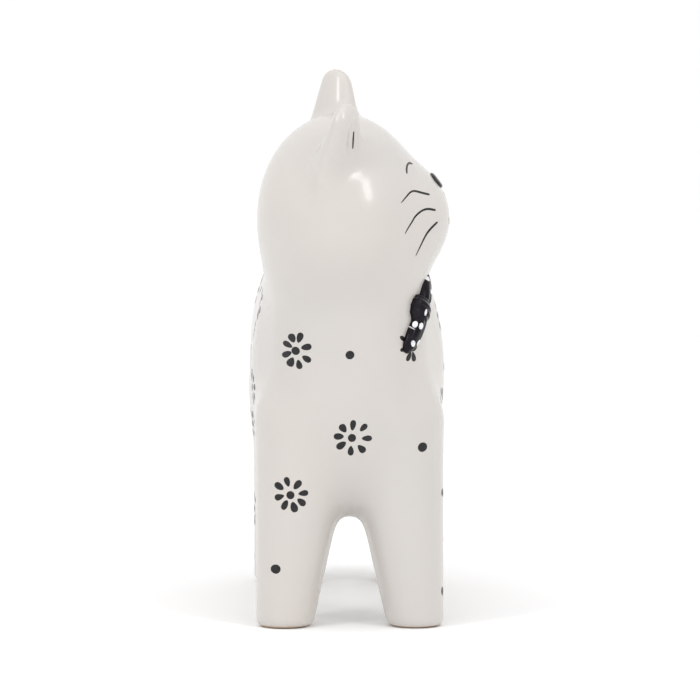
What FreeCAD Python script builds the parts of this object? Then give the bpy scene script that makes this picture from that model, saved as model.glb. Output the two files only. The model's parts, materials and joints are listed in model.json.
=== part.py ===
"""Ceramic cat figurine: a hollow slip-cast cat that stands on four legs with its head turned to its left.

Frame: millimetres, +Z up, origin on the table under the middle of the cat.
The body points along -Y (chest at -Y, rump at +Y) and the face looks along +X.

The body and the head are two hollow castings, trimmed to one sloping plane at the neck and
luted there with slip. The ears, the tail, the nose and the pieces of the bow are pressed
or rolled solid, shaped to the casting that carries them and luted on.
"""

import FreeCAD, Part

import math
import os

from FreeCAD import Matrix, Placement, Rotation, Vector

# ---------------------------------------------------------------- driving dimensions
WALL = 3.5                      # thickness of both castings
SECTION_POWER = 2.3             # 2 is an ellipse, more is squarer

# torso: sections across Y, a straight barrel with a rounded rump and chest
RUMP_Y = 72.0
RUMP_DEPTH = 34.0               # length of the rounding at the rump
CHEST_Y = -64.0
CHEST_DEPTH = 30.0              # length of the rounding at the chest
BARREL_HALF_WIDTH = 30.0
BARREL_HALF_HEIGHT = 41.5
BARREL_Z = 75.0
CHEST_NARROWING = 2.0           # the chest is this much narrower to each side
NECK_RISE = 10.0                # the back rises this much into the neck
NECK_RISE_Y = (-2.0, -44.0)     # where the rise starts and ends
NECK_TAPER = 0.25               # share by which the neck narrows towards its top

# legs: round columns, wider upwards; (height, centre from the middle, lean along Y, radius)
FORELEG_Y = -50.0
HINDLEG_Y = 52.0
LEG_STATIONS = (
    (0.0, 19.8, 0.0, 8.6),
    (10.0, 19.1, 1.0, 9.6),
    (20.0, 18.3, 2.2, 10.8),
    (32.0, 17.2, 3.6, 12.0),
    (46.0, 15.9, 5.4, 13.3),
    (60.0, 14.6, 7.2, 14.4),
    (74.0, 13.4, 9.0, 13.8),
    (88.0, 12.0, 11.0, 9.0),
)
CROTCH_FILLET = 4.0             # blend between a leg and the belly
FOOT_FLOOR = 4.5                # clay under the hollow of a leg
FOOT_EDGE = 1.4                 # rounding of the rim of a foot
VENT_RADIUS = 1.75              # firing vent in the belly

# head, in its own frame at the middle of the skull: +X out of the face, +Y its left
HEAD_MID = Vector(0.0, -41.0, 123.0)
HEAD_TURN = 6.5                 # degrees about the upright
HEAD_TILT = 11.0                # degrees about the line of sight, right cheek down
SKULL_MID = Vector(-3.2, 0.0, 0.4)
SKULL_RADII = (24.8, 31.0, 31.3)
MUZZLE_MID = Vector(10.2, 0.0, 0.7)
MUZZLE_RADII = (19.6, 20.0, 17.4)

# the plane where the two castings meet
SEAM_FRONT = Vector(0.0, -60.0, 96.0)
SEAM_SLOPE = 21.0               # degrees, rising towards the rump

# ears in the head's frame: (way from root to tip, half width, half thickness)
EAR_ROOT = Vector(-3.1, 15.5, 14.0)
EAR_TIP = Vector(-3.1, 23.5, 40.2)
EAR_SHIFT = 1.8                 # the left ear sits this much forward of that, the right this much back
EAR_SPLAY = 38.0                # degrees the flat of an ear turns outwards
EAR_STATIONS = (
    (0.0, 12.6, 6.8),
    (0.35, 11.2, 6.4),
    (0.6, 8.8, 5.6),
    (0.8, 6.5, 4.6),
    (0.93, 4.4, 3.4),
    (0.99, 1.9, 1.5),
)

# tail: (y, z, radius) along its middle line, from inside the rump to the tip
TAIL_STATIONS = (
    (53.1, 98.0, 8.6),
    (61.6, 104.5, 8.2),
    (66.6, 112.0, 7.5),
    (68.1, 120.5, 6.7),
    (66.7, 128.5, 5.9),
    (64.5, 133.5, 5.2),
    (63.1, 136.2, 3.6),
    (62.5, 137.3, 1.2),
)

# nose pellet in the head's frame
NOSE_MID = Vector(24.6, 0.0, 11.0)
NOSE_RADII = (3.6, 4.4, 3.2)

# bow: knot and two loops pressed onto the neck; loops as (way out, half height, half depth)
BOW_KNOT = Vector(21.2, -50.0, 95.4)
BOW_AWAY = Vector(2.6, 6.6, 10.0)           # from the knot towards the cat's left loop
KNOT_RADII = (3.2, 3.4, 4.6)                # outwards, along the bow, across it
LOOP_STATIONS = (
    (1.2, 2.2, 1.6),
    (4.0, 3.5, 2.5),
    (7.6, 4.1, 2.9),
    (11.0, 3.9, 2.8),
    (13.6, 3.0, 2.2),
    (15.2, 1.4, 1.1),
)
LOOP_WRAP = 0.014               # how fast a loop bends back round the neck


def placed(shape, placement):
    """A copy of the shape moved by the placement."""
    moved = shape.copy()
    moved.Placement = placement.multiply(moved.Placement)
    return moved


def ellipsoid(middle, radii, inset=0.0):
    """A solid ellipsoid, each radius less by the inset."""
    stretch = Matrix()
    stretch.scale(*[radius - inset for radius in radii])
    shape = Part.makeSphere(1.0).transformGeometry(stretch)
    shape.translate(middle)
    return shape


def ring(centre, radius):
    """A horizontal circle as a wire."""
    return Part.Wire(Part.Circle(centre, Vector(0, 0, 1), radius).toShape())


def ease(value, start, end):
    """0 at the start, 1 at the end, smooth between and constant beyond."""
    part = min(1.0, max(0.0, (value - start) / (end - start)))
    return part * part * (3.0 - 2.0 * part)


def squircle(y, middle_z, half_width, half_height, taper):
    """A rounded upright section across Y as a closed smooth wire, its top narrowed by the taper."""
    points = []
    for step in range(24):
        angle = math.radians(15.0 * step)
        cosine, sine = math.cos(angle), math.sin(angle)
        reach = (abs(cosine) ** SECTION_POWER + abs(sine) ** SECTION_POWER) ** (-1.0 / SECTION_POWER)
        width = half_width * (1.0 - taper * ease(sine, 0.0, 0.9))
        points.append(Vector(width * reach * cosine, y, middle_z + half_height * reach * sine))
    curve = Part.BSplineCurve()
    curve.interpolate(Points=points, PeriodicFlag=True)
    return Part.Wire(curve.toShape())


def torso(inset=0.0):
    """The closed form of barrel, chest and neck, drawn in by the inset on every side."""
    stations = []
    for angle in (87.0, 76.0, 62.0, 46.0, 28.0, 10.0):
        turn = math.radians(angle)
        stations.append((CHEST_Y + inset + (CHEST_DEPTH - inset) * (1.0 - math.sin(turn)), math.cos(turn)))
    for y in (-16.0, 0.0, 18.0):
        stations.append((y, 1.0))
    for angle in (10.0, 28.0, 46.0, 62.0, 76.0, 87.0):
        turn = math.radians(angle)
        stations.append((RUMP_Y - inset - (RUMP_DEPTH - inset) * (1.0 - math.sin(turn)), math.cos(turn)))
    wires = []
    for y, fullness in stations:
        rise = ease(y, *NECK_RISE_Y)
        half_width = BARREL_HALF_WIDTH - CHEST_NARROWING * rise - inset
        half_height = BARREL_HALF_HEIGHT + NECK_RISE * rise / 2.0 - inset
        middle = BARREL_Z + NECK_RISE * rise / 2.0
        wires.append(squircle(y, middle, half_width * fullness, half_height * fullness, NECK_TAPER * rise))
    return Part.makeLoft(wires, True, False)


def leg(side, foot_y, inset=0.0, floor=0.0):
    """One leg column from its foot up into the torso; side is +1 for the cat's left."""
    inward = -math.copysign(1.0, foot_y)
    wires = []
    for height, out, lean, radius in LEG_STATIONS:
        centre = Vector(side * out, foot_y + inward * lean, max(height, floor))
        wires.append(ring(centre, radius - inset))
    return Part.makeLoft(wires, True, False)


def rounded_edges(shape, radius, wanted):
    """The shape with every two-sided edge whose middle passes the test filleted."""
    edges = []
    for edge in shape.Edges:
        middle = edge.valueAt((edge.FirstParameter + edge.LastParameter) / 2.0)
        shared = len(shape.ancestorsOfType(edge, Part.Face)) == 2
        if shared and wanted(edge, middle):
            edges.append(edge)
    return shape.makeFillet(radius, edges)


def head_placement():
    """Where the head's own frame stands in the figurine."""
    turn = Rotation(Vector(0, 0, 1), HEAD_TURN) * Rotation(Vector(1, 0, 0), HEAD_TILT)
    return Placement(HEAD_MID, turn)


def outer_form():
    """The whole cat as one solid, without ears, tail, nose and bow."""
    columns = [leg(side, foot_y) for side in (1, -1) for foot_y in (FORELEG_Y, HINDLEG_Y)]
    trunk = torso().fuse(columns)
    trunk = rounded_edges(trunk, CROTCH_FILLET, lambda edge, at: edge.Length > 90.0 and at.z > 20.0)
    trunk = rounded_edges(trunk, FOOT_EDGE, lambda edge, at: edge.Length > 20.0 and at.z < 0.01)
    skull = placed(ellipsoid(SKULL_MID, SKULL_RADII), head_placement())
    muzzle = placed(ellipsoid(MUZZLE_MID, MUZZLE_RADII), head_placement())
    return trunk.fuse([skull, muzzle])


def inner_form():
    """The hollow of both castings as one solid."""
    columns = [
        leg(side, foot_y, WALL, FOOT_FLOOR)
        for side in (1, -1)
        for foot_y in (FORELEG_Y, HINDLEG_Y)
    ]
    skull = placed(ellipsoid(SKULL_MID, SKULL_RADII, WALL), head_placement())
    muzzle = placed(ellipsoid(MUZZLE_MID, MUZZLE_RADII, WALL), head_placement())
    return torso(WALL).fuse(columns + [skull, muzzle])


def above_seam():
    """A block that fills everything above the plane of the neck joint."""
    size = 400.0
    block = Part.makeBox(size, size, size, Vector(-size / 2.0, -size / 2.0, 0.0))
    block.Placement = Placement(SEAM_FRONT, Rotation(Vector(1, 0, 0), SEAM_SLOPE))
    return block


def belly_vent():
    """The plug that cuts the firing vent through the belly."""
    return Part.makeCylinder(VENT_RADIUS, 20.0, Vector(0.0, 0.0, BARREL_Z - BARREL_HALF_HEIGHT - 8.0))


def oval(centre, along, across, half_width, half_depth):
    """An ellipse as a wire, square to one direction, its width along the other."""
    third = along.cross(across)
    turn = Rotation(across, third, along, "ZXY")
    stretch = Matrix()
    stretch.scale(half_width, half_depth, 1.0)
    circle = Part.Wire(Part.Circle(Vector(0, 0, 0), Vector(0, 0, 1), 1.0).toShape())
    return placed(circle.transformGeometry(stretch), Placement(centre, turn))


def ear(side):
    """One solid ear; its root runs into the skull. side is +1 for the cat's left."""
    root = Vector(EAR_ROOT.x + side * EAR_SHIFT, side * EAR_ROOT.y, EAR_ROOT.z)
    tip = Vector(EAR_TIP.x + side * EAR_SHIFT, side * EAR_TIP.y, EAR_TIP.z)
    along = (tip - root).normalize()
    flat = math.radians(EAR_SPLAY)
    facing = Vector(math.cos(flat), side * math.sin(flat), 0.0)
    across = facing.cross(along).normalize()
    wires = []
    for way, half_width, half_depth in EAR_STATIONS:
        wires.append(oval(root + (tip - root) * way, along, across, half_width, half_depth))
    return placed(Part.makeLoft(wires, True, False), head_placement())


def tail():
    """The raised tail, round in section, its root inside the rump."""
    wires = []
    for index, (y, z, radius) in enumerate(TAIL_STATIONS):
        before = TAIL_STATIONS[max(0, index - 1)]
        after = TAIL_STATIONS[min(len(TAIL_STATIONS) - 1, index + 1)]
        along = Vector(0.0, after[0] - before[0], after[1] - before[1]).normalize()
        wires.append(oval(Vector(0.0, y, z), along, Vector(1, 0, 0), radius, radius))
    return Part.makeLoft(wires, True, False)


def bow_frame():
    """Directions at the knot: along the bow, out of the neck, and up across the bow."""
    along = Vector(BOW_AWAY).normalize()
    upright = Vector(0, 0, 1)
    outward = along.cross(upright).normalize()
    return along, outward, outward.cross(along).normalize()


def bow_loop(side):
    """One pillow-shaped loop of the bow; side is +1 for the cat's left."""
    along, outward, across = bow_frame()
    wires = []
    for way, half_height, half_depth in LOOP_STATIONS:
        centre = BOW_KNOT + along * (side * way) - outward * (LOOP_WRAP * way * way)
        heading = (along * side - outward * (2.0 * LOOP_WRAP * way)).normalize()
        wires.append(oval(centre, heading, across, half_height, half_depth))
    return Part.makeLoft(wires, True, False)


def bow_knot():
    """The rounded knot in the middle of the bow."""
    along, outward, across = bow_frame()
    knot = ellipsoid(Vector(0, 0, 0), KNOT_RADII)
    return placed(knot, Placement(BOW_KNOT, Rotation(outward, along, across, "ZXY")))


def build():
    """Every piece of the figurine by its name."""
    cat = outer_form()
    hollow = inner_form()
    top = above_seam()
    shell = cat.cut(hollow)
    pieces = {
        "body_casting": shell.cut(top).cut(belly_vent()),
        "head_casting": shell.common(top),
        "right_ear": ear(-1).cut(cat),
        "left_ear": ear(1).cut(cat),
        "tail": tail().cut(cat),
    }
    nose = ellipsoid(NOSE_MID, NOSE_RADII)
    pieces["nose"] = placed(nose, head_placement()).cut(cat)
    knot = bow_knot().cut(cat)
    pieces["bow_knot"] = knot
    pieces["bow_right_loop"] = bow_loop(-1).cut(cat).cut(knot)
    pieces["bow_left_loop"] = bow_loop(1).cut(cat).cut(knot)
    return pieces


def single_solid(name, shape):
    """The one solid in a shape; anything else is a fault in the model."""
    if len(shape.Solids) != 1 or not shape.Solids[0].isValid():
        raise ValueError(f"{name} is not one valid solid")
    return shape.Solids[0]


os.makedirs("parts", exist_ok=True)
for name, shape in build().items():
    piece = single_solid(name, shape)
    piece.exportStep(f"parts/{name}.step")
    print(f"{name}: {piece.Volume / 1000.0:.1f} cubic centimetres")
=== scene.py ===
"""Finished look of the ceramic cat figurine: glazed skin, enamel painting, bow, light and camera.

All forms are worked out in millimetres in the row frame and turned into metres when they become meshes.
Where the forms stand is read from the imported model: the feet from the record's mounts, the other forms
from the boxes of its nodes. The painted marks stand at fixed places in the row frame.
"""

import json
import logging
import math
from collections.abc import Callable
from dataclasses import dataclass
from enum import Enum

import bpy
import numpy as np
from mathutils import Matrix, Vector


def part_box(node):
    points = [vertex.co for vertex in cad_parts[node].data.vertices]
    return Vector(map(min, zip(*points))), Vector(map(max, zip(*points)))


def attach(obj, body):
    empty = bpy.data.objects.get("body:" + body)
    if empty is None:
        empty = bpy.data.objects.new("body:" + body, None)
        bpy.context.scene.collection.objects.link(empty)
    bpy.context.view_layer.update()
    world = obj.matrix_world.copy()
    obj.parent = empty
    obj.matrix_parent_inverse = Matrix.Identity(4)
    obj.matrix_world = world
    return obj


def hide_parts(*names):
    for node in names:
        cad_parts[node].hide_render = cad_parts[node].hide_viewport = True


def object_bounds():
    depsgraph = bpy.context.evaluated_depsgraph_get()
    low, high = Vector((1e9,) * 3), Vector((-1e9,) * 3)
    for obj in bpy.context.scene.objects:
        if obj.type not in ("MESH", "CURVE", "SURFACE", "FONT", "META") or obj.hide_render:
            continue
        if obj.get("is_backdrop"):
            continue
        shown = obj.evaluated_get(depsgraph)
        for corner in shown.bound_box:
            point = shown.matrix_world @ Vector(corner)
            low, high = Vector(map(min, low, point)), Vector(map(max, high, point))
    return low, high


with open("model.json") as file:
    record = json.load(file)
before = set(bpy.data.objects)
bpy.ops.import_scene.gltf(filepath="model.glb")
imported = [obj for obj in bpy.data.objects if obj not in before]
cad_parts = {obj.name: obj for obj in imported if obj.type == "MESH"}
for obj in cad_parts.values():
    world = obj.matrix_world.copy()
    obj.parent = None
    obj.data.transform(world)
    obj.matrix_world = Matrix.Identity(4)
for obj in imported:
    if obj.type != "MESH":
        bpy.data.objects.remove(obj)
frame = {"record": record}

LOG = logging.getLogger("cat")
MM = 0.001
Form = Callable[[np.ndarray], np.ndarray]
Value = bpy.types.NodeSocket | float | tuple[float, ...]


# ---------------------------------------------------------------- distance arithmetic
def smooth_min(a: np.ndarray, b: np.ndarray, blend: float) -> np.ndarray:
    """Join two distance fields with a soft fillet.

    Args:
        a: Distances to the first form, in millimetres.
        b: Distances to the second form.
        blend: Width over which the two flow together.

    Returns:
        Distances to the joined form.
    """
    share = np.maximum(blend - np.abs(a - b), 0.0) / blend
    return np.minimum(a, b) - share**3 * blend / 6.0


def smooth_max(a: np.ndarray, b: np.ndarray, blend: float) -> np.ndarray:
    """Keep only what two distance fields share, with a soft edge.

    Args:
        a: Distances to the first form, in millimetres.
        b: Distances to the second form.
        blend: Width over which the edge is rounded.

    Returns:
        Distances to the shared form.
    """
    return -smooth_min(-a, -b, blend)


def rotation(about_z: float, about_x: float) -> np.ndarray:
    """Matrix whose columns are the axes of a frame turned about Z and then tilted about its own X.

    Args:
        about_z: Turn in degrees.
        about_x: Tilt in degrees.

    Returns:
        A 3 by 3 rotation matrix.
    """
    turn, tilt = math.radians(about_z), math.radians(about_x)
    c, s = math.cos(turn), math.sin(turn)
    ct, st = math.cos(tilt), math.sin(tilt)
    return np.array([[c, -s, 0.0], [s, c, 0.0], [0.0, 0.0, 1.0]]) @ np.array(
        [[1.0, 0.0, 0.0], [0.0, ct, -st], [0.0, st, ct]]
    )


@dataclass(frozen=True)
class Ellipsoid:
    """An ellipsoid; its section across the Y axis can be squarer than an ellipse."""

    centre: tuple[float, float, float]
    radii: tuple[float, float, float]
    power: float = 2.0
    stretch: float = 0.0

    def distance(self, points: np.ndarray) -> np.ndarray:
        """Return the approximate distance of each point from the surface, negative inside.

        Args:
            points: Array of points, last axis x, y, z.

        Returns:
            One distance for each point.
        """
        q = points - np.array(self.centre)
        x, y, z = np.abs(q[..., 0]), np.abs(q[..., 1]), np.abs(q[..., 2])
        y = np.maximum(y - self.stretch, 0.0)
        rx, ry, rz = self.radii
        n = self.power
        a = (x / rx) ** n + (z / rz) ** n + 1e-12
        rho = np.sqrt(a ** (2.0 / n) + (y / ry) ** 2) + 1e-9
        lead = a ** (2.0 / n - 1.0) / rho
        gx = lead * (x / rx) ** (n - 1.0) / rx
        gz = lead * (z / rz) ** (n - 1.0) / rz
        gy = y / (ry * ry * rho)
        return (rho - 1.0) / (np.sqrt(gx * gx + gy * gy + gz * gz) + 1e-9)


@dataclass(frozen=True)
class RoundCone:
    """A cone with a ball at each end."""

    start: tuple[float, float, float]
    end: tuple[float, float, float]
    start_radius: float
    end_radius: float

    def distance(self, points: np.ndarray) -> np.ndarray:
        """Return the distance of each point from the surface, negative inside.

        Args:
            points: Array of points, last axis x, y, z.

        Returns:
            One distance for each point.
        """
        a, b = np.array(self.start), np.array(self.end)
        axis = b - a
        length2 = axis @ axis
        fall = self.start_radius - self.end_radius
        slant2 = length2 - fall * fall
        from_a = points - a
        y = from_a @ axis
        z = y - length2
        x2 = ((from_a * length2 - y[..., None] * axis) ** 2).sum(-1)
        y2, z2 = y * y * length2, z * z * length2
        limit = np.sign(fall) * fall * fall * x2
        side = (np.sqrt(x2 * slant2 / length2) + y * fall) / length2 - self.start_radius
        top = np.sqrt(x2 + z2) / length2 - self.end_radius
        bottom = np.sqrt(x2 + y2) / length2 - self.start_radius
        return np.where(
            np.sign(z) * slant2 * z2 > limit, top, np.where(np.sign(y) * slant2 * y2 < limit, bottom, side)
        )


# ---------------------------------------------------------------- the cat's form
@dataclass(frozen=True)
class Ear:
    """One flattened ear in the head's own frame, with a shallow hollow in its front."""

    side: float
    root: tuple[float, float, float] = (-4.4, 17.0, 18.5)
    tip: tuple[float, float, float] = (-3.4, 23.0, 34.2)
    shift: float = 1.8
    root_radius: float = 10.6
    tip_radius: float = 5.9
    splay: float = 38.0
    flatness: float = 0.56

    def axis_ends(self) -> tuple[np.ndarray, np.ndarray]:
        """Return the root and the tip of the ear's middle line in the head's frame."""
        flip = np.array([1.0, self.side, 1.0])
        forward = np.array([self.side * self.shift, 0.0, 0.0])
        return np.array(self.root) * flip + forward, np.array(self.tip) * flip + forward

    def distance(self, q: np.ndarray) -> np.ndarray:
        """Return the distance of each point of the head's frame from the ear.

        Args:
            q: Points in the head's frame.

        Returns:
            One distance for each point.
        """
        root, tip = self.axis_ends()
        turn = math.radians(self.splay)
        facing = np.array([math.cos(turn), self.side * math.sin(turn), 0.0])
        widen = 1.0 / self.flatness - 1.0

        def unflattened(v: np.ndarray) -> np.ndarray:
            """Return points stretched along the ear's thin direction."""
            return v + (((v - root) @ facing) * widen)[..., None] * facing

        end = unflattened(tip[None])[0]
        cone = RoundCone(tuple(root), tuple(end), self.root_radius, self.tip_radius)
        body = cone.distance(unflattened(q)) * 0.75
        hollow_at = root * 0.4 + tip * 0.6 + facing * 7.2
        turned = (q - hollow_at) @ rotation(self.side * self.splay, 0.0)
        hollow = Ellipsoid((0.0, 0.0, 0.0), (4.4, 6.2, 10.5)).distance(turned)
        return smooth_max(body, -hollow, 1.6)


@dataclass(frozen=True)
class Head:
    """Skull, muzzle and ears around the middle of the head."""

    middle: tuple[float, float, float]
    turn: float = 6.5
    tilt: float = 11.0
    skull: Ellipsoid = Ellipsoid((-2.6, 0.0, 0.2), (25.0, 31.0, 30.8))
    muzzle: Ellipsoid = Ellipsoid((15.8, 0.0, 0.0), (14.3, 19.0, 15.0))
    cheek_blend: float = 12.0
    ear_blend: float = 6.5
    right_ear: Ear = Ear(-1.0)
    left_ear: Ear = Ear(1.0)

    def local(self, points: np.ndarray) -> np.ndarray:
        """Return row frame points in the head's own frame."""
        return (points - np.array(self.middle)) @ rotation(self.turn, self.tilt)

    def world(self, q: np.ndarray) -> np.ndarray:
        """Return points of the head's own frame in the row frame."""
        return q @ rotation(self.turn, self.tilt).T + np.array(self.middle)

    def distance(self, points: np.ndarray) -> np.ndarray:
        """Return the distance of each row frame point from the head with its ears."""
        q = self.local(points)
        d = smooth_min(self.skull.distance(q), self.muzzle.distance(q), self.cheek_blend)
        for ear in (self.right_ear, self.left_ear):
            d = smooth_min(d, ear.distance(q), self.ear_blend)
        return d


@dataclass(frozen=True)
class Legs:
    """Four round columns that lean in and widen upwards."""

    feet: tuple[tuple[float, float], ...]
    foot_radius: float = 8.4
    top_radius: float = 15.2
    top_height: float = 60.0
    lean_x: float = 6.6
    lean_y: float = 7.0
    blend: float = 8.0

    def distance(self, points: np.ndarray) -> np.ndarray:
        """Return the distance of each row frame point from the nearest leg."""
        d = None
        for x, y in self.feet:
            top = (x - math.copysign(self.lean_x, x), y - math.copysign(self.lean_y, y), self.top_height)
            leg = RoundCone((x, y, 0.0), top, self.foot_radius, self.top_radius).distance(points)
            d = leg if d is None else smooth_min(d, leg, self.blend)
        return d


@dataclass(frozen=True)
class Tail:
    """The raised tail: a chain of round cones from the rump to the tip."""

    stations: tuple[tuple[float, float, float], ...]
    blend: float = 6.0

    def distance(self, points: np.ndarray) -> np.ndarray:
        """Return the distance of each row frame point from the tail."""
        d = None
        for (y0, z0, r0), (y1, z1, r1) in zip(self.stations, self.stations[1:]):
            link = RoundCone((0.0, y0, z0), (0.0, y1, z1), r0, r1).distance(points)
            d = link if d is None else smooth_min(d, link, self.blend)
        return d


@dataclass(frozen=True)
class CatForm:
    """The whole cat as one soft form."""

    torso: Ellipsoid
    chest: Ellipsoid
    legs: Legs
    head: Head
    tail: Tail
    chest_blend: float = 8.0
    leg_blend: float = 10.0
    neck_blend: float = 22.0
    tail_blend: float = 8.0
    sole_blend: float = 4.0
    sway: float = 2.5
    vent_radius: float = 1.75

    def trunk(self, points: np.ndarray) -> np.ndarray:
        """Return the distance of each row frame point from torso, chest and legs."""
        raised = points.copy()
        raised[..., 2] += self.sway * np.exp(-((points[..., 1] / 26.0) ** 2))
        d = smooth_min(self.torso.distance(raised), self.chest.distance(points), self.chest_blend)
        return smooth_min(d, self.legs.distance(points), self.leg_blend)

    def distance(self, points: np.ndarray) -> np.ndarray:
        """Return the distance of each row frame point from the cat, negative inside.

        Args:
            points: Row frame points in millimetres.

        Returns:
            One distance for each point.
        """
        d = smooth_min(self.trunk(points), self.head.distance(points), self.neck_blend)
        d = smooth_min(d, self.tail.distance(points), self.tail_blend)
        across = np.hypot(points[..., 0], points[..., 1])
        vent = np.maximum(across - self.vent_radius, points[..., 2] - 60.0)
        d = smooth_max(d, -vent, 1.2)
        return smooth_max(d, -points[..., 2], self.sole_blend)


def form_from_frame() -> CatForm:
    """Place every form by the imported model's boxes and mounts.

    Returns:
        The cat's form in the row frame, in millimetres.
    """
    body_low, body_high = node_box("body_casting")
    head_low, head_high = node_box("head_casting")
    tail_low, tail_high = node_box("tail")
    feet = tuple(
        (mount["pos_m"][0] / MM, mount["pos_m"][1] / MM)
        for mount in frame["record"]["mounts"]
        if mount["name"].endswith("_foot")
    )
    half_width = (body_high[0] - body_low[0]) / 2.0
    torso_middle = (0.0, (body_low[1] + body_high[1]) / 2.0 + 4.0, 75.2)
    torso = Ellipsoid(torso_middle, (half_width - 1.0, 32.0, 43.7), 2.2, 31.0)
    chest = Ellipsoid((0.0, body_low[1] + 22.0, 77.0), (23.5, 22.0, 43.8))
    head = Head((0.0, head_low[1] + 31.3, head_high[2] - 31.7))
    tip_y, tip_z = tail_high[1] - 10.3, tail_high[2]
    tail = Tail(
        (
            (tip_y - 10.3, tip_z - 40.2, 8.6),
            (tip_y - 2.3, tip_z - 33.7, 8.0),
            (tip_y + 2.3, tip_z - 26.2, 7.3),
            (tip_y + 3.4, tip_z - 17.7, 6.6),
            (tip_y + 2.0, tip_z - 9.7, 5.9),
            (tip_y, tip_z - 5.2, 5.0),
        )
    )
    return CatForm(torso, chest, Legs(feet), head, tail)


# ---------------------------------------------------------------- meshes from forms
@dataclass
class Net:
    """A triangle mesh with a normal at each point, in millimetres."""

    points: np.ndarray
    faces: np.ndarray
    normals: np.ndarray


def slope(form: Form, points: np.ndarray, step: float = 0.05) -> np.ndarray:
    """Return how fast a form's distance grows along each axis at each point.

    Args:
        form: Function from points to distances.
        points: Row frame points, one per row.
        step: Distance between the samples, in millimetres.

    Returns:
        One vector for each point.
    """
    return np.stack(
        [(form(points + axis * step) - form(points - axis * step)) / (2.0 * step) for axis in np.eye(3)], -1
    )


def gradient(form: Form, points: np.ndarray) -> np.ndarray:
    """Return the unit outward direction of a form's distance field at each point."""
    way = slope(form, points)
    return way / (np.linalg.norm(way, axis=-1, keepdims=True) + 1e-12)


def settle(form: Form, points: np.ndarray, rounds: int = 5) -> np.ndarray:
    """Move points onto a form's surface.

    Args:
        form: Function from points to distances.
        points: Points close to the surface.
        rounds: How many steps are taken.

    Returns:
        The moved points.
    """
    for _ in range(rounds):
        way = slope(form, points)
        square = np.maximum((way**2).sum(-1, keepdims=True), 0.05)
        move = form(points)[:, None] * way / square
        points = points - np.clip(move, -0.6, 0.6)
    return points


def net_from_form(form: Form, low: np.ndarray, high: np.ndarray, pitch: float) -> Net:
    """Mesh a form by surface nets, then settle every point on the true surface.

    Args:
        form: Function from points to distances.
        low: Lowest corner of the space to search.
        high: Highest corner of the space to search.
        pitch: Grid spacing in millimetres.

    Returns:
        The closed mesh.
    """
    axes = [np.arange(a, b + pitch, pitch) for a, b in zip(low, high)]
    shape = tuple(len(axis) for axis in axes)
    values = np.empty(shape, np.float32)
    plane_y, plane_z = np.meshgrid(axes[1], axes[2], indexing="ij")
    for index, x in enumerate(axes[0]):
        layer = np.stack([np.full_like(plane_y, x), plane_y, plane_z], -1)
        values[index] = form(layer)
    inside = values < 0.0
    corner_sum = np.zeros(tuple(n - 1 for n in shape) + (3,), np.float32)
    crossings = np.zeros(tuple(n - 1 for n in shape), np.float32)
    for axis in range(3):
        others = [a for a in range(3) if a != axis]
        for offset_a in (0, 1):
            for offset_b in (0, 1):
                start = [slice(0, -1)] * 3
                start[others[0]] = slice(offset_a, shape[others[0]] - 1 + offset_a)
                start[others[1]] = slice(offset_b, shape[others[1]] - 1 + offset_b)
                stop = list(start)
                stop[axis] = slice(1, None)
                first, second = values[tuple(start)], values[tuple(stop)]
                cut = (first < 0.0) != (second < 0.0)
                share = np.where(cut, first / np.where(cut, first - second, 1.0), 0.0)
                crossings += cut
                corner_sum[..., axis] += share * cut
                corner_sum[..., others[0]] += offset_a * cut
                corner_sum[..., others[1]] += offset_b * cut
    active = crossings > 0
    number = np.full(active.shape, -1, np.int64)
    number[active] = np.arange(active.sum())
    cells = np.argwhere(active)
    points = (cells + corner_sum[active] / crossings[active][:, None]) * pitch + np.array(
        [axis[0] for axis in axes]
    )
    faces = []
    for axis in range(3):
        others = [a for a in range(3) if a != axis]
        start, stop = [slice(None)] * 3, [slice(None)] * 3
        start[axis], stop[axis] = slice(0, -1), slice(1, None)
        first, second = inside[tuple(start)], inside[tuple(stop)]
        edges = np.argwhere(first != second)
        keep = np.all([(edges[:, a] > 0) & (edges[:, a] < shape[a] - 1) for a in others], axis=0)
        edges = edges[keep]
        steps = []
        for back_a, back_b in ((1, 1), (0, 1), (0, 0), (1, 0)):
            cell = edges.copy()
            cell[:, others[0]] -= back_a
            cell[:, others[1]] -= back_b
            steps.append(number[cell[:, 0], cell[:, 1], cell[:, 2]])
        quad = np.stack(steps, 1)
        flip = first[edges[:, 0], edges[:, 1], edges[:, 2]]
        if axis == 1:
            flip = ~flip
        quad = np.where(flip[:, None], quad, quad[:, ::-1])
        faces.append(quad[:, [0, 1, 2]])
        faces.append(quad[:, [0, 2, 3]])
    points = settle(form, points)
    return Net(points, np.concatenate(faces), gradient(form, points))


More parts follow.
